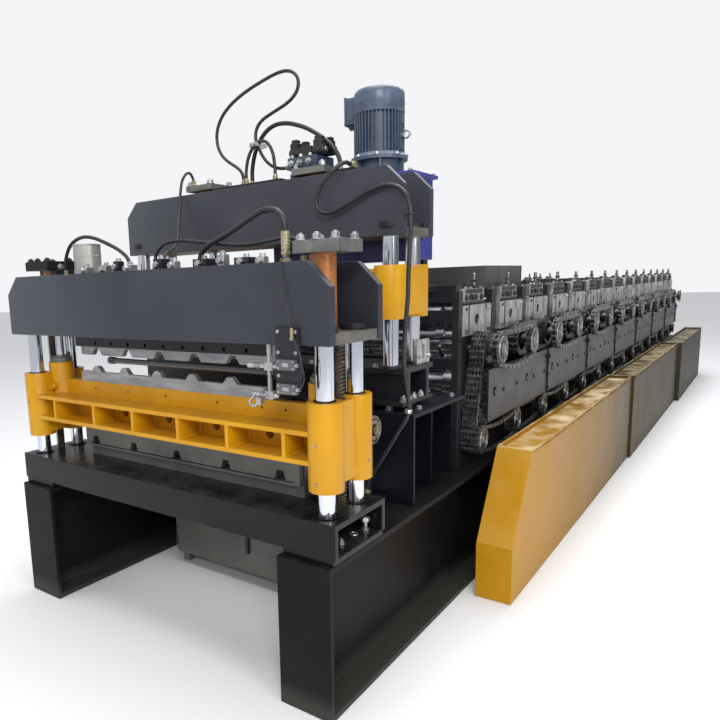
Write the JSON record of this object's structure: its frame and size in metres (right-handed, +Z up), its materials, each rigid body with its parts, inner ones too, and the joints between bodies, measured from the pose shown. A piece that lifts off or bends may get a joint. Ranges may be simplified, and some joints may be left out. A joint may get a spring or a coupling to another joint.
{
  "type": "roll forming machine",
  "caption": "Two-level sheet roll forming machine with a chain-driven roll train, two four-post hydraulic presses and a hydraulic power pack",
  "frame": {"origin": "centre of the bounding box's bottom face, on the floor", "axes": "+X towards the chain-drive side, sheet runs towards -Y, +Z up"},
  "size_m": [1.913, 8.5, 2.219],
  "materials": {
    "beam_near": "satin",
    "beam_far": "satin",
    "cross_members": "satin",
    "shear_table": "satin",
    "table_blade": "ground",
    "cabinet": "satin",
    "wall_near": "satin",
    "wall_far": "satin",
    "bearing_plates": "ground",
    "screw_down_units": "ground",
    "tie_bars": "satin",
    "rolls_lower": "polished",
    "rolls_upper": "polished",
    "sprockets": "oiled",
    "drive_chains": "oiled",
    "chain_plates": "satin",
    "guard_front": "gloss",
    "guard_middle": "gloss",
    "guard_rear": "satin",
    "top_cover": "dusty",
    "infeed_table": "satin",
    "press_brackets": "satin",
    "press_bed": "satin",
    "slot_plates": "ground",
    "front_pillars": "polished",
    "front_crosshead": "satin",
    "crosshead_bases": "raw",
    "crosshead_bridges": "satin",
    "front_cylinders": "satin",
    "cylinder_caps": "ground",
    "front_upper_blade": "ground",
    "front_blade_holder": "satin",
    "front_racks": "machined",
    "switch_bracket": "satin",
    "guide_rod": "polished",
    "round_can": "satin",
    "front_carriage": "gloss",
    "front_carriage_blade": "ground",
    "front_under_blade": "ground",
    "front_rods": "polished",
    "sync_shaft": "machined",
    "rear_pillars": "polished",
    "rear_crosshead": "satin",
    "rear_cylinders": "satin",
    "rear_carriage": "gloss",
    "rear_carriage_blade": "ground",
    "rear_rods": "polished",
    "tank": "gloss",
    "tank_stand": "satin",
    "pump_motor": "satin",
    "valve_block": "satin",
    "hose_fittings": "satin",
    "hose_loop_left": "matte",
    "hose_loop_right": "matte",
    "hose_inner": "matte",
    "hose_front_right": "matte",
    "hose_front_cross": "matte",
    "hose_front_left": "matte",
    "hose_drop": "matte",
    "hose_side": "matte"
  },
  "bodies": {
    "base": {"beam_near": "beam_near", "beam_far": "beam_far", "cross_members": "cross_members", "shear_table": "shear_table", "table_blade": "table_blade", "cabinet": "cabinet", "wall_near": "wall_near", "wall_far": "wall_far", "bearing_plates": "bearing_plates", "screw_down_units": "screw_down_units", "tie_bars": "tie_bars", "rolls_lower": "rolls_lower", "rolls_upper": "rolls_upper", "sprockets": "sprockets", "drive_chains": "drive_chains", "chain_plates": "chain_plates", "guard_front": "guard_front", "guard_middle": "guard_middle", "guard_rear": "guard_rear", "top_cover": "top_cover", "infeed_table": "infeed_table", "press_brackets": "press_brackets", "press_bed": "press_bed", "slot_plates": "slot_plates", "front_pillars": "front_pillars", "front_crosshead": "front_crosshead", "crosshead_bases": "crosshead_bases", "crosshead_bridges": "crosshead_bridges", "front_cylinders": "front_cylinders", "cylinder_caps": "cylinder_caps", "front_upper_blade": "front_upper_blade", "front_blade_holder": "front_blade_holder", "front_racks": "front_racks", "switch_bracket": "switch_bracket", "guide_rod": "guide_rod", "round_can": "round_can", "rear_pillars": "rear_pillars", "rear_crosshead": "rear_crosshead", "rear_cylinders": "rear_cylinders", "tank": "tank", "tank_stand": "tank_stand", "pump_motor": "pump_motor", "valve_block": "valve_block", "hose_fittings": "hose_fittings", "hose_loop_left": "hose_loop_left", "hose_loop_right": "hose_loop_right", "hose_inner": "hose_inner", "hose_front_right": "hose_front_right", "hose_front_cross": "hose_front_cross", "hose_front_left": "hose_front_left", "hose_drop": "hose_drop", "hose_side": "hose_side"},
    "front_carriage_body": {"front_carriage": "front_carriage", "front_carriage_blade": "front_carriage_blade", "front_under_blade": "front_under_blade", "front_rods": "front_rods", "sync_shaft": "sync_shaft"},
    "rear_carriage_body": {"rear_carriage": "rear_carriage", "rear_carriage_blade": "rear_carriage_blade", "rear_rods": "rear_rods"}
  },
  "joints": [
    {"name": "front_carriage_slide", "type": "slide", "parent": "base", "child": "front_carriage_body", "axis": [0, 0, 1], "range_m": [-0.04, 0.045]},
    {"name": "rear_carriage_slide", "type": "slide", "parent": "base", "child": "rear_carriage_body", "axis": [0, 0, 1], "range_m": [-0.08, 0.06]}
  ]
}
